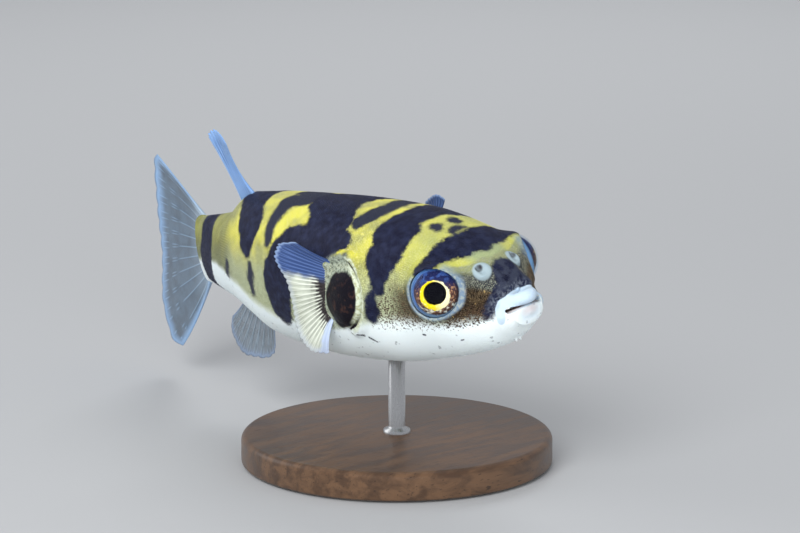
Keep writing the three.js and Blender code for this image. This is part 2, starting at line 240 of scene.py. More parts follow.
def sculpt(d, p):
    """Works the flesh of the head and the fins into d, the body's distance at points p on its left side."""
    near_eye = p[:, 0] < 16
    q = p[near_eye]
    along, out, up = q.T
    # the snout is pinched in front of the eyes, above the lips
    pinch = np.exp(-((along - 2.9) / 2.3) ** 2) * smooth_step(-2.4, -0.2, up) * smooth_step(1.3, 3.7, out)
    bridge = np.exp(-((along - 0.7) / 1.4) ** 2) * smooth_step(-0.2, 0.6, up) * smooth_step(2.7, 1.0, out)
    shaped = d[near_eye] + 1.25 * pinch + 1.0 * bridge
    # skin stands round the eye, higher above and below it than at its ends
    from_eye = q - EYE_AT
    reach = np.linalg.norm(from_eye, axis=-1)
    height = from_eye @ EYE_COLLAR_AXIS
    lid = 1.1 + 1.1 * np.clip(np.abs(from_eye[:, 2]) / EYE_RADIUS, 0, 1) ** 1.6
    collar = -smooth_union(-(reach - EYE_RADIUS - lid_thickness(from_eye)), -(height - lid), 0.3)
    shaped = smooth_union(shaped, collar, 1.2)
    shaped = smooth_cut(shaped, reach - EYE_RADIUS - SOCKET_GAP, 0.15)
    # nostril: a low cup of flesh with its opening at the outer side
    from_cup = q - NOSTRIL_AT
    rise = from_cup @ NOSTRIL_TILT
    spread = np.sqrt(np.maximum(np.sum(from_cup ** 2, -1) - rise ** 2, 0))
    cup = np.maximum(np.hypot(spread, np.maximum(rise, 0)) - CUP_RADIUS, rise - CUP_HEIGHT)
    shaped = smooth_union(shaped, cup, 0.5)
    shaped = smooth_union(shaped, np.hypot(spread - 0.85, rise - 0.42) - CUP_RIM, 0.3)
    shaped = smooth_cut(shaped, ball(q, NOSTRIL_HOLE, (0.6, 0.48, 0.6)), 0.15)
    # lips, one roll above and a flatter one below, joined round the corner of the mouth
    upper_lip = tube(q, UPPER_LIP, UPPER_ROLL)
    shaped = shaped + 0.55 * np.exp(-((upper_lip - 0.25) / 0.45) ** 2) * smooth_step(-1.6, -0.9, up)
    shaped = smooth_union(shaped, tube(q, LOWER_LIP, LOWER_ROLL), 2.8)
    shaped = smooth_union(shaped, upper_lip, 0.25)
    gape = tube(q * SLIT_SQUEEZE, (SLIT - [0.4, 0, 0]) * SLIT_SQUEEZE, SLIT_ROLL)
    throat = tube(q * [1, 1, 2.0], SLIT * [1, 0.9, 2.0] + [1.2, 0, 0], np.full(len(SLIT), 0.5))
    shaped = smooth_cut(shaped, np.minimum(gape, throat), 0.2)
    # chin flap
    shaped = smooth_union(shaped, tube(q, [(3.5, 0.35, -6.0), (3.0, 0.4, -7.1)], [0.36, 0.1]), 0.3)
    d = d.copy()
    d[near_eye] = shaped
    # gill opening, and the fleshy foot of the pectoral fin behind it
    near_gill = (p[:, 0] > 18) & (p[:, 0] < 34)
    q = p[near_gill]
    shaped = smooth_union(d[near_gill], tube(q, np.array(GILL_SLIT) - [0.9, 0.3, 0], np.full(7, 0.75)), 1.0)
    shaped = smooth_union(shaped, tube(q * [1, 1.9, 1], np.array(LOBE) * [1, 1.9, 1], LOBE_RADII), 0.7)
    shaped = smooth_cut(shaped, tube(q, GILL_SLIT, [0.1, 0.3, 0.42, 0.42, 0.4, 0.3, 0.1]), 0.3)
    for bump in [(27.8, 8.9, 5.3, 0.8), (26.3, 8.9, 6.0, 0.8), (24.6, 9.2, 6.0, 0.7), (29.3, 9.0, 4.4, 0.7)]:
        shaped = smooth_union(shaped, ball(q, bump[:3], (bump[3], 0.8, bump[3] * 0.8)), 0.8)
    d[near_gill] = shaped
    # flesh at the foot of the dorsal, anal and caudal fins
    near_tail = p[:, 0] > 44
    q = p[near_tail]
    shaped = d[near_tail]
    for points, radii, blend in [([(52.5, 0, 8.9), (55.5, 0, 8.9), (59.0, 0, 7.4)], [0.8, 1.0, 0.8], 1.6),
                                 ([(53.5, 0, -8.6), (57, 0, -8.2), (61.5, 0, -6.4)], [1.2, 1.4, 1.0], 1.6),
                                 ([(74.6, 0, 4.2), (75.2, 0, 0), (74.6, 0, -4.4)], [0.75, 0.9, 0.75], 1.2)]:
        shaped = smooth_union(shaped, tube(q, points, radii), blend)
    d[near_tail] = shaped
    return d


GRID_STEP = 0.2
SCULPTED_DEPTH = 3.2


def build_skin():
    """Vertices in the straight frame and quads of the whole skin, from a grid that is finer at the head."""
    along = [-2.6]
    while along[-1] < STANDARD_LENGTH + 2:
        along.append(along[-1] + 0.16 + 0.12 * smooth_step(14, 26, along[-1]))
    along = np.array(along)
    out = np.arange(-12.6, 12.61, GRID_STEP)
    up = np.arange(-13.0, 12.61, GRID_STEP)
    a, o, u = np.meshgrid(along, out, up, indexing="ij", sparse=True)
    rough = body_radial(a, o, u)
    slopes = np.gradient(rough, along, out, up)
    distance = rough / np.sqrt(np.maximum(sum(g * g for g in slopes), 0.6))
    distance = np.where(a > STANDARD_LENGTH, np.maximum(distance, a - STANDARD_LENGTH), distance)
    band = np.abs(distance) < SCULPTED_DEPTH
    at = np.nonzero(band)
    p = np.stack([along[at[0]], np.abs(out[at[1]]), up[at[2]]], -1)
    distance[band] = sculpt(distance[band], p)
    grid = openvdb.FloatGrid()
    grid.copyFromArray(np.clip(distance, -1.5, 1.5).astype(np.float32))
    cells, quads = grid.convertToQuads(isovalue=0.0)
    points = np.stack([np.interp(cells[:, 0], np.arange(len(along)), along),
                       out[0] + GRID_STEP * cells[:, 1], up[0] + GRID_STEP * cells[:, 2]], -1)
    return largest_shell(points, quads)


def largest_shell(points, quads):
    """Drops loose crumbs: each vertex takes the lowest label it is joined to, and the commonest is kept."""
    label = np.arange(len(points))
    while True:
        low = label[quads].min(1)
        new = label.copy()
        for k in range(4):
            np.minimum.at(new, quads[:, k], low)
        new = new[new]
        if (new == label).all():
            break
        label = new
    values, counts = np.unique(label, return_counts=True)
    kept = label == values[counts.argmax()]
    index = np.cumsum(kept) - 1
    return points[kept], index[quads[kept[quads[:, 0]]]]


def relax(points, quads, rounds=3):
    """Taubin smoothing, which evens the faces and keeps the form."""
    edges = np.concatenate([quads[:, [k, (k + 1) % 4]] for k in range(4)])
    edges = np.unique(np.sort(edges, 1), axis=0)
    one, other = edges.T
    size = len(points)
    count = np.bincount(edges.ravel(), minlength=size)[:, None]
    for _ in range(rounds):
        for weight in (0.5, -0.52):
            total = np.stack([np.bincount(one, axis[other], size) + np.bincount(other, axis[one], size)
                              for axis in points.T], -1)
            points = points + weight * (total / count - points)
    return points


# ------------------------------ mesh helpers

def place(name, data):
    thing = bpy.data.objects.new(name, data)
    bpy.context.scene.collection.objects.link(thing)
    return thing


def new_piece(name, points, faces, smooth=True):
    """A mesh from arrays, whose faces all have the same number of sides."""
    mesh = bpy.data.meshes.new(name)
    mesh.vertices.add(len(points))
    mesh.vertices.foreach_set("co", np.asarray(points, np.float32).ravel())
    faces = np.asarray(faces)
    sides = faces.shape[1]
    mesh.loops.add(faces.size)
    mesh.loops.foreach_set("vertex_index", faces.astype(np.int32).ravel())
    mesh.polygons.add(len(faces))
    mesh.polygons.foreach_set("loop_start", np.arange(0, faces.size, sides, dtype=np.int32))
    mesh.update(calc_edges=True)
    mesh.validate()
    mesh.polygons.foreach_set("use_smooth", np.full(len(mesh.polygons), smooth))
    return place(name, mesh)


def give(piece, **values):
    """Stores numbers on the piece's vertices for its material."""
    for name, value in values.items():
        layer = piece.data.attributes.new(name, "FLOAT", "POINT")
        layer.data.foreach_set("value", np.asarray(value, np.float32))


def finish_piece(piece, look, slot, *nodes):
    piece.data.materials.append(look)
    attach(piece, "root")
    if nodes:
        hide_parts(*nodes)


# ------------------------------ markings

# Each mark is a list of strokes through (along, degrees round from the mid-back, half width in mm).
DARK_BARS = [
    [(8.8, 0, 2.2), (9.2, 16, 2.1), (9.5, 30, 1.9), (9.9, 47, 1.55), (10.3, 60, 1.6)],
    [(2.6, 0, 2.4), (1.6, 35, 1.3), (1.9, 72, 1.2), (2.9, 95, 0.75), (2.6, 106, 0.5), (2.4, 109, 0.3)],
    [(18.8, 0, 2.5), (19.0, 15, 2.5), (18.6, 28, 3.6), (18.1, 46, 2.9), (18.6, 57, 2.9), (18.6, 68, 2.1),
     (18.9, 78, 1.4)],
    [(19.6, 82, 0.5), (19.9, 89, 0.6), (20.2, 92, 1.1), (20.6, 98, 0.8)],
    [(34.8, 0, 4.9), (33.0, 18, 4.2), (31.5, 35, 4.3), (31.0, 48, 3.6)],
    [(27.6, 48, 2.2), (30.0, 56, 2.0), (34.0, 54, 3.2), (37.6, 60, 3.6), (40.2, 75, 3.2), (41.6, 92, 3.2),
     (42.0, 105, 2.4)],
    [(53.4, 0, 4.3), (51.6, 25, 3.1), (49.8, 45, 3.3), (49.6, 60, 2.3), (48.9, 70, 1.1)],
    [(69.2, 0, 2.5), (68.9, 30, 2.6), (68.0, 65, 2.9), (69.6, 95, 2.9), (70.8, 120, 2.5), (71.2, 142, 2.0)],
    [(71.2, 142, 2.0), (68.5, 158, 1.9), (64.0, 171, 1.6), (60.0, 178, 1.0)],
]
GREY_MARKS = [
    [(24.6, 0, 1.5), (25.0, 14, 1.8), (25.9, 26, 1.3)],
    [(40.5, 2, 2.4), (43.6, 10, 2.0), (43.6, 28, 1.4), (43.8, 44, 1.1), (43.6, 60, 0.7)],
    [(48.2, 80, 0.5), (48.6, 90, 0.8), (48.9, 100, 0.4)],
    [(57.5, 85, 0.5), (58.5, 95, 0.7)],
    [(13.5, 8, 0.6), (14.0, 7, 0.9)],
    [(11.8, 4, 0.5), (12.2, 1, 0.6)],
    [(28.6, 66, 0.5), (25.0, 62, 0.6)],
]
FINE_MARKS = [
    [(26.3, 109, 0.16), (25.2, 111, 0.10)],
    [(24.6, 112, 0.12), (23.8, 114, 0.20)],
    [(23.0, 116, 0.15), (21.7, 120, 0.08)],
    [(12.4, 111, 0.16), (12.2, 111, 0.12)],
    [(7.4, 124, 0.14), (7.2, 124, 0.10)],
]
# where the yellow stripe over the snout ends, as along at degrees round
STRIPE_EDGE = curve_through(np.array([0.0, 14, 29, 39, 48, 60, 75]),
                            np.array([5.5, 5.9, 6.2, 6.8, 7.5, 8.2, 8.6]))
DEGREE_MM = 0.175


def mark_distance(marks, along, degrees):
    """Distance in mm from the nearest mark's edge, below 0 inside it."""
    best = np.full(along.shape, 9.0)
    p = np.stack([along, degrees * DEGREE_MM], -1)
    for mark in marks:
        m = np.array(mark, float)
        best = smooth_union(best, tube(p, m[:, :2] * [1, DEGREE_MM], m[:, 2]), 0.4)
    return best


# where the belly's white begins, as degrees round at along
WHITE_EDGE = curve_through(np.array([-3.0, 2, 6, 11, 20, 30, 44, 52, 60, 66, 76]),
                           np.array([105.0, 108, 106, 101, 103, 112, 116, 107, 99, 95, 108]))


def marking_values(p):
    """What the skin's and the prickles' material reads, at points of the straight frame."""
    along, out, up = p.T
    side = np.abs(out)
    degrees = np.degrees(around_of(np.clip(along, 0.3, 75), out, up))
    q = np.stack([along, side, up], -1)
    near = along < 8
    lip, jaw, mouth, gape = np.full((4, len(p)), 9.0)
    lip[near] = tube(q[near], UPPER_LIP, UPPER_ROLL)
    jaw[near] = tube(q[near], LOWER_LIP, LOWER_ROLL)
    lip[near] -= 0.6 * np.exp(-(side[near] / 1.1) ** 2) * smooth_step(-0.6, 0.2, up[near])
    mouth[near] = tube(q[near], SLIT + [0.5, 0, -0.75], SLIT_ROLL + 0.1)
    gape[near] = tube(q[near], SLIT + [0.6, 0, 0], SLIT_ROLL)
    nostril = np.linalg.norm(q - NOSTRIL_AT - 0.3 * NOSTRIL_TILT, axis=-1) - 1.25
    hole = np.linalg.norm(q - NOSTRIL_HOLE, axis=-1) - 0.62
    from_eye = q - EYE_AT
    eye = np.linalg.norm(from_eye, axis=-1) - EYE_RADIUS - lid_thickness(from_eye) + 0.38
    foot_lobe = tube(q * [1, 0, 1], np.array(LOBE) * [1, 0, 1], LOBE_RADII)
    slit = np.full(len(p), 9.0)
    near = (along > 18) & (along < 34)
    slit[near] = tube(q[near], GILL_SLIT, np.full(7, 0.1))
    return dict(
        bars=mark_distance(DARK_BARS, along, degrees), greys=mark_distance(GREY_MARKS, along, degrees),
        fine=mark_distance(FINE_MARKS, along, degrees), dusk=STRIPE_EDGE(degrees) - along,
        white=(degrees - WHITE_EDGE(along)) * DEGREE_MM, degrees=degrees, along=along, lip=lip, jaw=jaw,
        mouth=mouth, gape=gape, nostril=nostril, hole=hole, eye=np.clip(eye, -1, 9),
        lobe=np.clip(np.where(side > 5, foot_lobe, 9), -9, 9), slit=slit)


# ------------------------------ materials

class Graph:
    """A small writer of shader node trees."""

    def __init__(self, name):
        self.material = bpy.data.materials.new(name)
        self.material.use_nodes = True
        self.tree = self.material.node_tree
        self.tree.nodes.clear()
        self.shader = self.add("BsdfPrincipled")
        self.out = self.add("OutputMaterial", Surface=self.shader.outputs[0])
        self.position = self.add("TexCoord").outputs["Object"]

    def add(self, kind, settings=None, **inputs):
        node = self.tree.nodes.new("ShaderNode" + kind)
        for key, value in (settings or {}).items():
            setattr(node, key, value)
        for key, value in inputs.items():
            self.set(node.inputs[key.replace("_", " ")], value)
        return node

    def set(self, socket, value):
        if isinstance(value, bpy.types.NodeSocket):
            self.tree.links.new(value, socket)
        elif isinstance(value, tuple) and len(value) == 3 and socket.type == "RGBA":
            socket.default_value = (*value, 1)
        else:
            socket.default_value = value

    def surface(self, **inputs):
        for key, value in inputs.items():
            self.set(self.shader.inputs[key.replace("_", " ")], value)

    def read(self, name):
        return self.add("Attribute", {"attribute_name": name}).outputs["Fac"]

    def math(self, operation, a, b=0.0):
        node = self.add("Math", {"operation": operation})
        self.set(node.inputs[0], a)
        self.set(node.inputs[1], b)
        return node.outputs[0]

    def times(self, a, *factors):
        for factor in factors:
            a = self.math("MULTIPLY", a, factor)
        return a

    def plus(self, a, b):
        return self.math("ADD", a, b)

    def minus(self, a, b):
        return self.math("SUBTRACT", a, b)

    def most(self, a, b):
        return self.math("MAXIMUM", a, b)

    def noise(self, per_mm, detail=2.0, rough=0.5, vector=None, distortion=0.0):
        return self.add("TexNoise", Vector=vector or self.position, Scale=per_mm / MM, Detail=detail,
                        Roughness=rough, Distortion=distortion).outputs["Fac"]

    def waver(self, per_mm, size, detail=2):
        """Noise about 0, up to half the size either way."""
        return self.times(self.minus(self.noise(per_mm, detail), 0.5), size)

    def step(self, low, high, value, result=(0.0, 1.0)):
        node = self.add("MapRange", {"interpolation_type": "SMOOTHSTEP"})
        for socket, v in zip(node.inputs, (value, low, high, *result)):
            self.set(socket, v)
        return node.outputs[0]

    def mix(self, share, a, b, blend="MIX"):
        node = self.add("Mix", {"data_type": "RGBA", "blend_type": blend})
        self.set(node.inputs[0], share)
        self.set(node.inputs[6], a)
        self.set(node.inputs[7], b)
        return node.outputs[2]

    def lay(self, share, colour):
        """Paints over the colour so far."""
        self.colour = self.mix(share, self.colour, colour)

    def bump(self, height, distance_mm, strength=1.0):
        return self.add("Bump", Strength=strength, Distance=distance_mm * MM, Height=height).outputs[0]


NAVY = (0.0055, 0.0065, 0.021)
SLATE = (0.022, 0.026, 0.046)
YELLOW = (0.73, 0.70, 0.085)
OLIVE = (0.34, 0.35, 0.11)
SAGE = (0.50, 0.58, 0.42)
WHITE = (0.80, 0.88, 0.89)
ICE = (0.53, 0.66, 0.78)


def skin_material(name, on_prickles):
    """Bars and belly come from the marks' distances, their broken edges and grain from noise."""
    g = Graph(name)
    broad, fine, speck = g.noise(0.22, 2), g.noise(2.2, 3), g.noise(3.4, 3, 0.65)
    wobble = g.plus(g.waver(0.55, 1.4), g.waver(3.4, 0.7))
    grain = g.add("TexVoronoi", Vector=g.position, Scale=3.6 / MM).outputs["Distance"]
    degrees, along = g.read("degrees"), g.read("along")
    white = g.plus(g.read("white"), g.times(wobble, 0.8))

    # ground colour: yellow on the back, sage low on the flank and by the tail, white below
    yellow = g.mix(g.step(0.40, 0.70, broad), YELLOW, OLIVE)
    yellow = g.mix(g.step(0.5, 0.85, fine), yellow, (0.82, 0.78, 0.22))
    yellow = g.mix(g.step(22, 12, along, (0.0, 0.6)), yellow, (0.42, 0.46, 0.15))
    brow = g.times(g.step(9.0, 7.0, along), g.step(34, 14, degrees, (0.0, 0.75)))
    yellow = g.mix(brow, yellow, (0.28, 0.37, 0.24))
    low = g.plus(degrees, g.times(wobble, 9.0))
    g.colour = g.mix(g.step(58, 92, low), yellow, SAGE)
    smoky = g.mix(g.step(0.35, 0.65, g.noise(0.4, 3)), (0.20, 0.22, 0.10), (0.10, 0.115, 0.075))
    g.lay(g.times(g.step(54, 60, along), 0.75), smoky)
    # dusky snout in front of the last stripe, paler beside the eye
    dusk = g.plus(g.read("dusk"), g.times(wobble, 0.5))
    dusky = g.mix(g.step(0.6, 2.2, dusk), (0.28, 0.31, 0.15), (0.045, 0.05, 0.055))
    dusky = g.mix(g.times(g.step(0.5, 0.62, speck), 0.6), dusky, (0.30, 0.33, 0.28))
    g.lay(g.step(-0.3, 0.3, dusk), dusky)
    # brown cheek before the eye and brown patch behind it, both ending in loose dark specks
    cheek = g.times(g.step(9.0, 6.5, along), g.step(60, 74, low))
    behind = g.times(g.step(10.0, 12.0, along), g.step(18.5, 14.0, along), g.step(70, 86, low))
    brown = g.mix(g.step(0.42, 0.6, g.noise(1.6, 3)), (0.022, 0.013, 0.008), (0.10, 0.068, 0.040))
    glint = g.times(g.step(0.60, 0.68, g.noise(2.6, 2)), g.step(0.5, 0.65, g.noise(0.9, 1)))
    brown = g.mix(glint, brown, (0.72, 0.50, 0.20))
    g.lay(g.times(g.most(cheek, g.times(behind, 0.95)), 0.92), brown)
    g.lay(g.step(-1.6, 0.5, white), WHITE)
    # pale grain between dark, as the skin's prickles catch the light
    grained = g.mix(g.step(0.12, 0.55, grain), (1.0, 0.98, 0.80), (0.40, 0.38, 0.24))
    above = g.step(0.3, -1.6, white)
    g.lay(g.times(above, g.step(45, 80, degrees, (0.2, 0.7))), g.mix(1.0, g.colour, grained, "MULTIPLY"))
    # brown specks below the eye, and loose ones on the white
    zone = g.times(g.step(-4.4, -1.2, white), g.step(1.7, -0.6, white), g.step(23, 18, along),
                   g.step(0.9, 1.8, g.read("gape")))
    cut = g.plus(speck, g.times(zone, 0.12))
    g.lay(g.times(g.step(0.60, 0.66, cut), g.step(0.0, 0.3, zone)), (0.050, 0.030, 0.018))
    rare = g.times(g.step(0.69, 0.74, g.noise(1.1, 1)), g.step(0, 1, white))
    g.lay(g.times(rare, 0.6), (0.22, 0.25, 0.28))
    # dark bars and grey marks, both painted lighter towards the snout's front as painted sheen
    navy = g.mix(g.step(0.3, 0.8, g.noise(0.8, 3)), NAVY, (0.019, 0.025, 0.062))
    # the dark marks turn lighter and patchy towards the snout's front: painted sheen
    snout_sheen = g.times(g.step(7.5, 4.5, along), g.step(0.38, 0.62, g.noise(0.9, 2)))
    navy = g.mix(snout_sheen, navy, (0.036, 0.043, 0.070))
    greys = g.plus(g.read("greys"), wobble)
    # grey marks painted lighter towards the snout's front: painted sheen
    g.lay(g.step(0.6, -0.3, greys), g.mix(g.step(7.0, 4.0, along), SLATE, (0.045, 0.055, 0.085)))
    g.lay(g.step(0.12, -0.06, g.plus(g.read("fine"), g.times(wobble, 0.25))), SLATE)
    bars = g.plus(g.read("bars"), wobble)
    g.lay(g.step(0.38, -0.32, bars), navy)
    # pectoral foot and gill opening
    lobe = g.plus(g.read("lobe"), g.times(wobble, 0.6))
    pale = g.mix(g.step(0.4, 0.7, fine), (0.36, 0.41, 0.32), (0.10, 0.12, 0.09))
    rim = g.times(g.step(2.9, 1.9, lobe), g.step(22.8, 24.2, along))
    g.lay(g.times(rim, g.step(0.4, -0.6, white)), pale)
    black = g.mix(g.step(0.55, 0.72, g.noise(1.2, 3)), (0.006, 0.005, 0.009), (0.040, 0.020, 0.017))
    g.lay(g.step(0.25, -0.2, lobe), black)
    slit = g.read("slit")
    flap = g.mix(g.step(0.4, 0.6, fine), (0.66, 0.72, 0.58), (0.42, 0.45, 0.28))
    g.lay(g.times(g.step(1.0, 0.7, slit), g.step(25.8, 23.4, along)), flap)
    # the gill slit painted near-black: painted shade in the opening
    g.lay(g.step(0.32, 0.12, slit), (0.02, 0.015, 0.02))
    # skin round the eye, nostrils, lips
    lid = g.mix(g.step(0.45, 0.6, fine), (0.20, 0.29, 0.40), (0.36, 0.42, 0.42))
    g.lay(g.times(g.step(0.7, 0.25, g.read("eye")), g.step(0.8, -0.1, bars, (0.78, 0.0))), lid)
    g.lay(g.step(0.25, -0.1, g.read("nostril")), (0.33, 0.42, 0.46))
    # the nostril's opening painted near-black: painted shade in the hole
    g.lay(g.step(0.1, -0.15, g.read("hole")), (0.03, 0.025, 0.03))
    lip = g.plus(g.read("lip"), g.times(wobble, 0.15))
    # pale streaks above the lip, partly their own colour and partly painted sheen, stronger near the lip
    streaks_and_sheen = g.times(g.step(0.45, 0.62, fine), g.step(1.9, 0.5, lip, (0.0, 0.35)))
    g.lay(g.times(streaks_and_sheen, g.step(0.5, -0.5, white)), (0.30, 0.34, 0.40))
    g.lay(g.step(0.42, 0.24, lip), ICE)
    g.lay(g.step(1.1, -0.2, g.read("jaw"), (0.0, 0.6)), ICE)
    g.lay(g.times(g.step(0.7, 0.0, g.read("mouth")), g.step(0.2, 0.4, lip, (0.0, 0.6))), (0.66, 0.50, 0.46))
    # the mouth's slit painted near-black: painted shade between the lips
    g.lay(g.step(0.15, -0.15, g.read("gape")), (0.05, 0.025, 0.025))
    if on_prickles:
        dark = g.most(g.step(0.3, -0.3, bars), g.step(0.6, -0.3, greys))
        pale_tip = g.mix(g.step(54, 60, along, (0.0, 0.8)), (0.78, 0.76, 0.50), (0.30, 0.32, 0.19))
        pale_tip = g.mix(g.most(cheek, behind), pale_tip, (0.30, 0.22, 0.13))
        pale_tip = g.mix(g.step(-0.8, 0.6, white), pale_tip, WHITE)
        pale_tip = g.mix(dark, pale_tip, (0.035, 0.038, 0.07))
        g.lay(g.times(g.step(0.1, 0.9, g.read("tip")), 0.75), pale_tip)
        g.surface(Base_Color=g.colour, Roughness=0.45)
    else:
        bumps = g.plus(g.times(grain, -0.6), g.times(g.noise(6.0, 2), 0.5))
        g.surface(Base_Color=g.colour, Roughness=g.step(0.2, 0.8, fine, (0.42, 0.55)),
                  Normal=g.bump(bumps, 0.05))
    g.surface(Subsurface_Weight=0.12, Subsurface_Radius=(0.0005, 0.0004, 0.0003), Subsurface_Scale=1.0,
              IOR=1.22, Coat_Weight=0.02, Coat_Roughness=0.2)
    return g.material


def build_body():
    points, quads = build_skin()
    points = relax(points, quads)
    skin = new_piece("skin", settle(bent(*points.T)), quads)
    give(skin, **marking_values(points))
    finish_piece(skin, skin_material("fish_skin", False), "skin", "head", "trunk", "tail_stalk", "upper_lip",
                 "lower_lip", "nostril_left", "nostril_right")
    tree = BVHTree.FromPolygons(points.tolist(), quads.tolist())
    look = skin_material("fish_prickles", True)
    for name, first, last, gap in (("prickles_head", 1.6, 22.0, 0.25), ("prickles_trunk", 22.0, 73.5, 0.31)):
        build_prickles(name, tree, first, last, gap, look)


# how far prickles keep from lips, nostrils, eyes and gills
BARE_WITHIN = {"lip": 0.35, "gape": 0.9, "jaw": 0.9, "nostril": 0.3, "eye": 0.5, "lobe": 0.3, "slit": 0.7}
PRICKLE_SHARE, ROW_SPACING = 0.93, 0.87
CHART_LENGTH = 78
CHART_PATCH = 0.0015


def build_prickles(name, tree, first, last, gap, look):
    """Small solid spines leaning tailwards, in staggered rows round the body."""
    feet, normals, chart = [], [], []
    for row, along in enumerate(np.arange(first, last, gap * ROW_SPACING)):
        rises = [float(back(along)), float(belly(along))]
        wide = float(half(along))
        count = int(round(math.pi * (wide + sum(rises) / 2) / gap))
        turns = (np.arange(count) + 0.5 * (row % 2)) / count * 2 * math.pi
        for angle in turns + rng.normal(0, 0.16 / count, count) * 2:
            c, s = math.cos(angle), math.sin(angle)
            rise = rises[0] if c > 0 else rises[1]
            start = (along + rng.normal(0, 0.2 * gap), wide * s * 1.03, rise * c * 1.03)
            foot, normal, _, _ = tree.find_nearest(start)
            feet.append(foot)
            normals.append(normal)
            chart.append((along / CHART_LENGTH, angle / (2 * math.pi)))
    feet, normals, chart = np.array(feet), np.array(normals), np.array(chart)
    values = marking_values(feet)
    kept = rng.random(len(feet)) < PRICKLE_SHARE
    for mark, reach in BARE_WITHIN.items():
        kept &= values[mark] > reach
    feet, normals, chart = feet[kept], normals[kept], chart[kept]
    tailwards = np.array([1.0, 0, 0]) - normals[:, :1] * normals
    tailwards /= np.linalg.norm(tailwards, axis=1, keepdims=True)
    sideways = np.cross(normals, tailwards)
    size = (gap * rng.uniform(0.26, 0.36, len(feet)))[:, None]
    low = feet - 0.03 * normals
    corners = [low + size * (1.3 * tailwards), low + size * (-0.8 * tailwards + 0.95 * sideways),
               low + size * (-0.8 * tailwards - 0.95 * sideways),
               feet + size * (0.85 * normals + 1.5 * tailwards)]
    points = np.stack(corners, 1)
    base = np.arange(len(feet))[:, None, None] * 4
    faces = (base + np.array([(0, 1, 2), (1, 0, 3), (2, 1, 3), (0, 2, 3)])).reshape(-1, 3)
    piece = new_piece(name, settle(bent(*points.reshape(-1, 3).T)), faces, smooth=False)
    corner_values = {k: np.repeat(v[kept], 4) for k, v in values.items()}
    give(piece, tip=np.tile([0.0, 0, 0, 1], len(feet)), **corner_values)
    patch = chart[:, None] + CHART_PATCH * np.array([(1, 0), (-0.6, 0.9), (-0.6, -0.9), (0, 0)])
    layer = piece.data.uv_layers.new(name="OFBake")
    layer.data.foreach_set("uv", patch.reshape(-1, 2)[faces.ravel()].astype(np.float32).ravel())
    finish_piece(piece, look, "skin")


# ------------------------------ eyes

# where each pupil looks, as if both eyes were on the left side
EYE_AXIS = {"left": unit([-0.22, 0.96, 0.12]), "right": unit([-0.62, 0.76, 0.17])}
CORNEA_INNER, GLOBE, IRIS = EYE_RADIUS - 0.07, EYE_RADIUS - 0.1, EYE_RADIUS - 0.32


def lathe(profile, around, axis, centre):
    """A closed turned form from (radius, height) pairs that start and end on the axis."""
    side = unit(np.cross([0, 1.0, 0] if axis[2] > 0.9 else [0, 0, 1.0], axis))
    third = np.cross(axis, side)
    angle = np.linspace(0, 2 * math.pi, around, endpoint=False)
    ring = np.cos(angle)[:, None] * side + np.sin(angle)[:, None] * third
    inner = profile[1:-1]
    points = [centre + profile[0][1] * axis]
    for r, h in inner:
        points.extend(centre + r * ring + h * axis)
    points.append(centre + profile[-1][1] * axis)
    faces = []
    last = len(points) - 1
    for k in range(around):
        n = (k + 1) % around
        faces.append((0, 1 + k, 1 + n, 1 + n))
        faces.append((last, last - around + n, last - around + k, last - around + k))
        for row in range(len(inner) - 1):
            a = 1 + row * around
            faces.append((a + k, a + around + k, a + around + n, a + n))
    return np.array(points), faces


def arc(radius, first, last, count):
    return [(radius * math.sin(a), radius * math.cos(a)) for a in np.linspace(first, last, count)]


def eyeball_profile():
    """Lens, gold rim, iris bowl and the back of the globe."""
    lens = [(0, 3.28)] + [(1.5 * math.sin(a), 2.55 + 0.73 * math.cos(a)) for a in np.linspace(0.12, 1.45, 9)]
    rim = [(1.53, 2.74), (1.58, 2.93), (1.68, 3.0), (1.85, 2.96), (2.0, 2.84)]
    return lens + rim + arc(IRIS, 0.65, 1.10, 7) + arc(GLOBE, 1.16, math.pi - 0.1, 19) + [(0, -GLOBE)]


def turned_piece(name, points, faces):
    """A mesh from faces of three or four sides, where a corner named twice counts once."""
    mesh = bpy.data.meshes.new(name)
    mesh.from_pydata([tuple(p) for p in points], [], [tuple(dict.fromkeys(f)) for f in faces])
    mesh.polygons.foreach_set("use_smooth", np.full(len(mesh.polygons), True))
    mesh.update()
    return place(name, mesh)


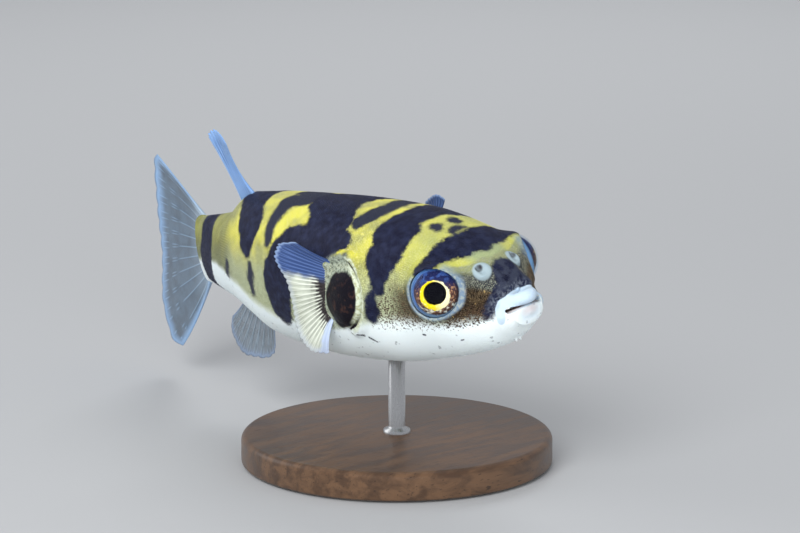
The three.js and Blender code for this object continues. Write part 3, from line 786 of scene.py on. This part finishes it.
def eye_material():
    """Colour by place on the eye: black lens, gold ring, dark flecked iris, blue limbus. ex looks forward."""
    g = Graph("fish_eye")
    ex, ey, rho = (g.read(name) for name in ("ex", "ey", "rho"))

    def distance(x, y):
        return g.math("SQRT", g.plus(g.math("POWER", g.minus(ex, x), 2.0),
                                     g.math("POWER", g.minus(ey, y), 2.0)))

    wobble = g.waver(1.8, 0.55, 3)
    fleck = g.noise(2.6, 4, 0.65)
    g.colour = g.mix(g.step(-0.6, 1.6, ey), (0.10, 0.045, 0.035), (0.016, 0.020, 0.075))
    g.lay(g.times(g.step(0.50, 0.62, g.noise(1.2, 3)), g.step(0.6, 2.6, ey)), (0.045, 0.09, 0.27))
    g.lay(g.times(g.step(0.52, 0.62, fleck), g.step(1.6, 0.2, ey), g.step(3.0, 2.6, rho)), (0.50, 0.26, 0.13))
    g.lay(g.times(g.step(0.50, 0.60, g.noise(1.7, 3)), g.step(-0.9, -1.9, ey)), (0.80, 0.74, 0.58))
    gold = g.mix(g.step(-0.5, 1.1, ex), (0.95, 0.72, 0.010), (1.0, 0.90, 0.52))
    gold = g.mix(g.step(0.56, 0.70, fleck), gold, (1.0, 0.93, 0.55))
    g.lay(g.step(2.12, 1.98, g.plus(distance(-0.04, -0.26), wobble)), gold)
    pupil = g.plus(distance(0.0, 0.0), g.times(wobble, 0.5, g.step(0.2, -1.2, ey)))
    g.lay(g.step(1.58, 1.50, pupil), (0.002, 0.002, 0.004))
    blue = g.mix(g.step(-1.6, 1.8, g.minus(ex, ey)), (0.09, 0.18, 0.38), (0.20, 0.28, 0.36))
    g.lay(g.step(2.95, 3.2, g.plus(rho, g.times(wobble, 0.5))), blue)
    g.lay(g.step(3.3, 3.6, rho), (0.26, 0.42, 0.60))
    g.surface(Base_Color=g.colour, Roughness=g.step(1.5, 1.6, rho, (0.25, 0.35)),
              Normal=g.bump(fleck, 0.05, g.step(1.5, 1.7, rho)), IOR=1.12)
    return g.material


def cornea_material():
    """Clear, faintly blue towards its edge, and mirror-like where it curves away."""
    g = Graph("fish_cornea")
    tint = g.mix(g.step(2.4, 3.3, g.read("rho")), (0.98, 0.99, 1.0), (0.88, 0.93, 0.98))
    clear = g.add("BsdfTransparent", Color=tint)
    shine = g.add("BsdfGlossy", Color=(1.0, 1.0, 1.0), Roughness=0.03)
    facing = g.add("LayerWeight", Blend=0.5).outputs["Facing"]
    mixed = g.add("MixShader", Fac=g.plus(g.times(g.math("POWER", facing, 4.0), 0.35), 0.004))
    g.set(mixed.inputs[1], clear.outputs[0])
    g.set(mixed.inputs[2], shine.outputs[0])
    g.set(g.out.inputs["Surface"], mixed.outputs[0])
    g.tree.nodes.remove(g.shader)
    return g.material


def build_eyes():
    parts = (("eyeball", eyeball_profile(), eye_material()),
             ("cornea", [(0, EYE_RADIUS)] + arc(EYE_RADIUS, 0.08, 1.5, 22) + arc(CORNEA_INNER, 1.5, 0.08, 22)
              + [(0, CORNEA_INNER)], cornea_material()))
    for side, sign in (("left", 1), ("right", -1)):
        mirror = np.array([1, sign, 1.0])
        centre = bent(*(EYE_AT * mirror))
        axis = unit(EYE_AXIS[side] * mirror * [-1, 1, 1])
        high = unit(UP - axis[2] * axis)
        ahead = np.cross(high, axis) * -sign
        for kind, profile, look in parts:
            points, faces = lathe(profile, 72, axis, centre)
            away = points - centre
            rho = np.linalg.norm(away - (away @ axis)[:, None] * axis, axis=-1)
            piece = turned_piece(f"{kind}_{side}", settle(points), faces)
            give(piece, rho=np.where(away @ axis > 0, rho, EYE_RADIUS), ex=away @ ahead, ey=away @ high)
            finish_piece(piece, look, "eye", *([f"eye_{side}"] if kind == "eyeball" else []))


# ------------------------------ fins

def table(rows):
    """Curve through (t, along, out, up) rows."""
    rows = np.array(rows, float)
    curves = [curve_through(rows[:, 0], rows[:, k]) for k in (1, 2, 3)]
    return lambda t: np.stack([c(t) for c in curves], -1)


RAY_SAMPLES = 10
WEB_HALF, ROOT_HALF = 0.04, 0.30  # half the web's thickness, and what the root adds to it
FORK_FROM, FORK_SPREAD = 0.45, 0.23  # where a ray forks, and how far, in shares of its length and spacing


def build_fin(name, node, ray, count, look, rows=30, ridge=0.09, scallop=0.03, wave=0.2):
    """A closed thin sheet, ridged over every ray. ray(t) gives each ray's root, middle control and tip."""
    t = np.linspace(0, 1, count * RAY_SAMPLES + 1)[:, None]
    r = np.linspace(0, 1, rows + 1)[None, :]
    root, middle, tip = (np.asarray(v)[:, None, :] for v in ray(t[:, 0]))
    phase = (t * count) % 1.0 - 0.5
    reach = (r * (1 - scallop * (2 * np.abs(phase)) ** 2))[..., None]
    sheet = (1 - reach) ** 2 * root + 2 * reach * (1 - reach) * middle + reach ** 2 * tip
    across = np.gradient(sheet, axis=0)
    normal = np.cross(across, np.gradient(sheet, axis=1))
    normal /= np.linalg.norm(normal, axis=-1, keepdims=True)
    width = np.linalg.norm(np.gradient(sheet, t[:, 0], axis=0), axis=-1) / count
    fork = FORK_SPREAD * smooth_step(FORK_FROM, 1.0, r)
    near = np.minimum(np.abs(phase - fork), np.abs(phase + fork)) * width
    raised = np.exp(-(near / np.minimum(0.16 - 0.09 * r, 0.35 * width)) ** 2)
    half_thick = WEB_HALF + ridge * raised * (1 - 0.7 * r) + ROOT_HALF * (1 - r) ** 4
    ripple = wave * r * np.sin(2 * math.pi * (t * 1.7 + 0.3 * r)) + 0.03 * r * np.cos(2 * math.pi * t * count)
    front = sheet + normal * (ripple + half_thick)[..., None]
    rear = sheet + normal * (ripple - half_thick)[..., None]
    nt, nr = sheet.shape[:2]
    index = np.arange(nt * nr).reshape(nt, nr)
    other = index + nt * nr

    def strip(a, b, c, d):
        return np.stack([a, b, c, d], -1).reshape(-1, 4)

    faces = [strip(index[:-1, :-1], index[1:, :-1], index[1:, 1:], index[:-1, 1:]),
             strip(other[:-1, :-1], other[:-1, 1:], other[1:, 1:], other[1:, :-1])]
    for a, b in ((index[0], other[0]), (other[-1], index[-1]), (other[:, 0], index[:, 0]),
                 (index[:, -1], other[:, -1])):
        faces.append(strip(a[:-1], a[1:], b[1:], b[:-1]))
    points = np.concatenate([front.reshape(-1, 3), rear.reshape(-1, 3)])
    piece = new_piece(name, settle(points), np.concatenate(faces))
    twice = lambda v: np.tile(np.broadcast_to(v, (nt, nr)).ravel(), 2)
    give(piece, ray=twice(raised), reach=twice(r), across=twice(t))
    finish_piece(piece, look, "fin", node)


CAUDAL_REACH = curve_through(np.array([-1.0, -0.85, -0.5, 0.0, 0.5, 0.88, 1.0]),
                             np.array([0.80, 1.02, 1.12, 1.08, 1.06, 1.10, 1.05]))


def caudal_ray(t):
    """Root, middle and tip of the tail's rays, from the top edge to the bottom one."""
    across = 1 - 2 * t
    angle = math.radians(30) * across - math.radians(2.5) * np.maximum(across, 0)
    angle -= math.radians(7) * np.clip((-across - 0.7) / 0.3, 0, 1)
    point, forward, left = spine(np.full_like(t, STANDARD_LENGTH))
    root = bent(STANDARD_LENGTH - 1.2, 0, 4.6 * across)
    reach = 18.5 / np.cos(angle * 0.92) * CAUDAL_REACH(across)
    tip = root - forward * (reach * np.cos(angle))[:, None]
    tip[:, 2] += reach * np.sin(angle) - 2.5
    for end in (root, tip):
        end += left * (0.11 * (end[:, 2] - point[:, 2]))[:, None]
    middle = (root + tip) / 2 + left * (1.0 * np.sin(3 * across))[:, None]
    middle[:, 2] -= 2.0 * np.clip((-across - 0.3) / 0.7, 0, 1)
    return root, middle, tip


def placed_ray(roots, tips, bulge=None, middles=None):
    """Rays between two rows of points, bowed by a bulge or through a row of middles."""
    def ray(t):
        root, tip = table(roots)(t), table(tips)(t)
        middle = table(middles)(t) if middles else (root + tip) / 2 + np.array(bulge)
        return bent(*root.T), bent(*middle.T), bent(*tip.T)
    return ray


DORSAL_RAY = placed_ray(
    [(0, 54.8, 0, 9.2), (0.4, 57.0, 0, 8.4), (1, 58.8, 0, 7.4)],
    [(0, 54.4, -4.2, 18.8), (0.25, 55.2, -4.1, 20.1), (0.6, 57.4, -3.9, 20.6), (0.85, 59.2, -3.7, 19.9),
     (1, 59.6, -3.5, 18.9)],
    middles=[(0, 57.1, -1.7, 13.6), (1, 58.5, -1.7, 13.4)])
ANAL_RAY = placed_ray(
    [(0, 55.5, 0, -7.2), (1, 61.5, 0, -5.2)],
    [(0, 53.2, -2.3, -12.0), (0.15, 54.4, -2.4, -13.8), (0.35, 58.3, -2.3, -15.1), (0.55, 62.2, -2.2, -15.1),
     (0.75, 65.6, -2.1, -13.8), (0.9, 67.0, -2.0, -11.6), (1, 66.0, -1.8, -9.5)],
    bulge=(-0.4, -0.6, -0.6))
PECTORAL_ROOTS = [(0, 27.2, 8.9, 4.4), (0.5, 28.7, 8.9, 0.6), (1, 29.6, 9.0, -3.0)]
PECTORAL_TIPS_RIGHT = [
    (0, 34.4, 10.6, 7.5), (0.1, 37.8, 10.6, 6.9), (0.2, 38.0, 11.2, 5.5), (0.3, 36.8, 11.7, 3.8),
    (0.4, 35.5, 12.0, 2.1), (0.5, 35.3, 12.1, -0.6), (0.6, 35.6, 11.9, -3.0), (0.7, 35.7, 11.5, -5.3),
    (0.8, 35.0, 11.0, -7.4), (0.9, 33.2, 10.8, -8.5), (1, 30.4, 10.9, -8.4)]
PECTORAL_TIPS_LEFT = [
    (0, 25.2, 10.2, 8.3), (0.08, 26.6, 10.3, 8.9), (0.2, 29.0, 11.2, 8.0), (0.3, 31.5, 12.2, 6.4),
    (0.45, 33.6, 12.8, 3.6), (0.6, 34.4, 12.9, 0.4), (0.75, 34.0, 12.6, -2.8), (0.9, 32.2, 12.2, -5.6),
    (1, 30.0, 11.6, -6.8)]


def mirrored(rows, sign):
    return [(t, s, sign * o, u) for t, s, o, u in rows]


class FinGraph(Graph):
    """Pale rays in a clearer web; the flesh at the root and the outer edge are more solid."""

    def __init__(self, name, web, bone, edge, clear):
        super().__init__(name)
        self.ray, self.reach, self.across = (self.read(n) for n in ("ray", "reach", "across"))
        cloud = self.noise(0.45, 3)
        self.colour = self.mix(self.step(0.35, 0.7, cloud), web, tuple(0.7 * c for c in web))
        self.lay(self.step(0.25, 0.9, self.ray), bone)
        from_middle = self.math("ABSOLUTE", self.minus(self.across, 0.5))
        self.rim = self.most(self.step(0.84, 0.97, self.reach), self.step(0.46, 0.49, from_middle))
        self.lay(self.rim, edge)
        solid = self.most(self.step(0.15, 0.85, self.ray, (clear, 0.95)), self.step(0.35, 0.02, self.reach))
        self.solid = self.most(solid, self.times(self.rim, 0.85))

    def close(self):
        self.surface(Base_Color=self.colour, Roughness=0.38, Alpha=self.solid, IOR=1.36,
                     Normal=self.bump(self.noise(4.0, 2), 0.03), Subsurface_Weight=0.15,
                     Subsurface_Radius=(0.001, 0.001, 0.001), Subsurface_Scale=0.5,
                     Coat_Weight=0.12, Coat_Roughness=0.15)
        return self.material


def pectoral_material():
    """Blue upper lobe, cream fan with fine dark gaps by the dark foot, bluish lowest rays."""
    g = FinGraph("fin_pectoral", (0.64, 0.69, 0.58), (0.76, 0.80, 0.70), (0.62, 0.68, 0.70), 0.85)
    comb = g.plus(g.reach, g.waver(1.4, 0.25))
    gap = g.most(g.times(g.step(0.60, 0.30, g.ray), g.step(0.52, 0.34, comb)), g.step(0.38, 0.28, comb))
    g.lay(gap, (0.03, 0.024, 0.026))
    upper = g.plus(g.across, g.waver(0.6, 0.12))
    blue = g.mix(g.step(0.2, 0.9, g.ray), (0.030, 0.062, 0.18), (0.075, 0.13, 0.31))
    blue = g.mix(g.step(0.92, 0.98, g.reach), blue, (0.20, 0.29, 0.50))
    g.lay(g.step(0.38, 0.27, upper), blue)
    g.lay(g.step(0.90, 0.96, upper), (0.50, 0.60, 0.80))
    thin = g.step(0.55, 1.0, g.reach, (1.0, 0.62))
    g.solid = g.most(g.times(g.solid, thin), g.step(0.36, 0.28, upper, (0.0, 0.92)))
    return g.close()


def build_fins():
    caudal = FinGraph("fin_caudal", (0.12, 0.18, 0.25), (0.20, 0.29, 0.40), (0.26, 0.42, 0.66), 0.72)
    flesh = caudal.times(caudal.step(0.42, 0.05, caudal.reach),
                         caudal.step(0.75, 0.2, caudal.across, (0.35, 1.0)))
    caudal.lay(flesh, (0.42, 0.54, 0.66))
    caudal = caudal.close()
    dorsal = FinGraph("fin_dorsal", (0.13, 0.27, 0.58), (0.30, 0.47, 0.78), (0.26, 0.45, 0.82), 0.85).close()
    anal = FinGraph("fin_anal", (0.17, 0.22, 0.27), (0.23, 0.29, 0.35), (0.21, 0.28, 0.40), 0.55).close()
    pectoral = pectoral_material()
    build_fin("caudal_web", "caudal_fin", caudal_ray, 11, caudal, rows=40, scallop=0.015)
    build_fin("dorsal_web", "dorsal_fin", DORSAL_RAY, 9, dorsal, wave=0.1)
    build_fin("anal_web", "anal_fin", ANAL_RAY, 10, anal)
    for side, sign, tips in (("right", -1, PECTORAL_TIPS_RIGHT), ("left", 1, PECTORAL_TIPS_LEFT)):
        ray = placed_ray(mirrored(PECTORAL_ROOTS, sign), mirrored(tips, sign), bulge=(0, sign * 0.9, 0))
        build_fin(f"pectoral_web_{side}", f"pectoral_fin_{side}", ray, 26, pectoral, ridge=0.032, wave=0.28)


# ------------------------------ stand

BASE_RADIUS, BASE_HEIGHT, BASE_ROUND, FOOT_ROUND = 22, 4, 0.9, 0.4


def build_stand():
    wood = Graph("stand_walnut")
    stretch = wood.add("Mapping", Vector=wood.position, Scale=(1.0, 0.16, 1.0)).outputs[0]
    rings = wood.noise(0.55, 4, 0.6, stretch, 0.6)
    pores = wood.noise(3.0, 2, 0.5, stretch)
    wood.colour = wood.mix(wood.step(0.35, 0.65, rings), (0.055, 0.028, 0.014), (0.12, 0.064, 0.032))
    wood.lay(wood.step(0.62, 0.75, pores), (0.03, 0.015, 0.008))
    wood.surface(Base_Color=wood.colour, Roughness=wood.step(0.3, 0.7, rings, (0.38, 0.5)),
                 Normal=wood.bump(pores, 0.05, 0.6), Coat_Weight=0.3, Coat_Roughness=0.25)
    steel = Graph("stand_satin_steel")
    brushed = steel.add("Mapping", Vector=steel.position, Scale=(1.0, 1.0, 0.05)).outputs[0]
    scratch = steel.noise(8.0, 3, 0.6, brushed)
    steel.surface(Base_Color=(0.62, 0.63, 0.64), Metallic=1.0,
                  Roughness=steel.step(0.2, 0.8, scratch, (0.22, 0.4)), Normal=steel.bump(scratch, 0.01, 0.4))
    quarter = np.linspace(0, math.pi / 2, 9)
    edge = [(BASE_RADIUS - BASE_ROUND * (1 - math.sin(a)), BASE_HEIGHT - BASE_ROUND * (1 - math.cos(a)))
            for a in quarter]
    foot = [(BASE_RADIUS - FOOT_ROUND * (1 - math.cos(a)), FOOT_ROUND * (1 - math.sin(a)))
            for a in quarter[::2]]
    plinth = [(0, BASE_HEIGHT)] + edge + foot + [(0, 0)]
    post = [(0, 15.6), (1.0, 15.6), (1.2, 15.4), (1.2, 5.0), (1.3, 4.7), (1.9, 4.45), (1.95, 4.0),
            (1.95, 3.7), (0, 3.7)]
    for name, profile, around, look, slot, node in (
            ("stand_plinth", plinth, 160, wood, "stand_wood", "stand_base"),
            ("stand_post", post, 48, steel, "stand_steel", "stand_rod")):
        points, faces = lathe(profile, around, UP, np.zeros(3))
        finish_piece(turned_piece(name, points * MM, faces), look.material, slot, node)


# ------------------------------ studio

CAMERA_AT = Vector((0.33398, -0.31083, 0.12487))
CAMERA_AIM = Vector((0.01206, -0.01064, 0.03131))
LAMP_AIM = Vector((-0.01, 0, 0.025))
FLOOR_REACH, FLOOR_GAP = 4, 0.0003


def build_studio():
    camera = place("camera", bpy.data.cameras.new("camera"))
    camera.data.lens, camera.data.sensor_width = 150, 36
    camera.data.clip_start, camera.data.clip_end = 0.01, 20
    camera.location = CAMERA_AT
    camera.rotation_euler = (CAMERA_AIM - CAMERA_AT).to_track_quat("-Z", "Y").to_euler()
    bpy.context.scene.camera = camera
    corners = [(x * FLOOR_REACH, y * FLOOR_REACH, -FLOOR_GAP)
               for x, y in ((-1, -1), (1, -1), (1, 1), (-1, 1))]
    floor = turned_piece("floor", corners, [(0, 1, 2, 3)])
    paper = Graph("studio_paper")
    paper.surface(Base_Color=(0.46, 0.47, 0.48), Roughness=0.9)
    floor.data.materials.append(paper.material)
    for name, spot, size, watts in (
            ("key", (0.20, -0.52, 0.42), 0.40, 3.6), ("low", (0.42, -0.30, 0.05), 0.40, 2.3),
            ("rim", (-0.35, 0.40, 0.45), 0.30, 1.4), ("side", (-0.5, -0.3, 0.3), 0.5, 0.7)):
        lamp = place(name, bpy.data.lights.new(name, "AREA"))
        lamp.data.shape, lamp.data.size, lamp.data.energy = "DISK", size, watts
        lamp.location = spot
        lamp.visible_glossy = name == "side"  # the others would grey the dark bars
        lamp.rotation_euler = (LAMP_AIM - Vector(spot)).to_track_quat("-Z", "Y").to_euler()
    world = bpy.data.worlds.new("studio")
    world.use_nodes = True
    sky = world.node_tree.nodes["Background"]
    sky.inputs["Color"].default_value = (0.93, 0.95, 1.0, 1)
    sky.inputs["Strength"].default_value = 0.46
    bpy.context.scene.world = world
    bpy.context.scene.view_settings.view_transform = "Standard"


build_studio()
build_body()
build_eyes()
build_fins()
build_stand()
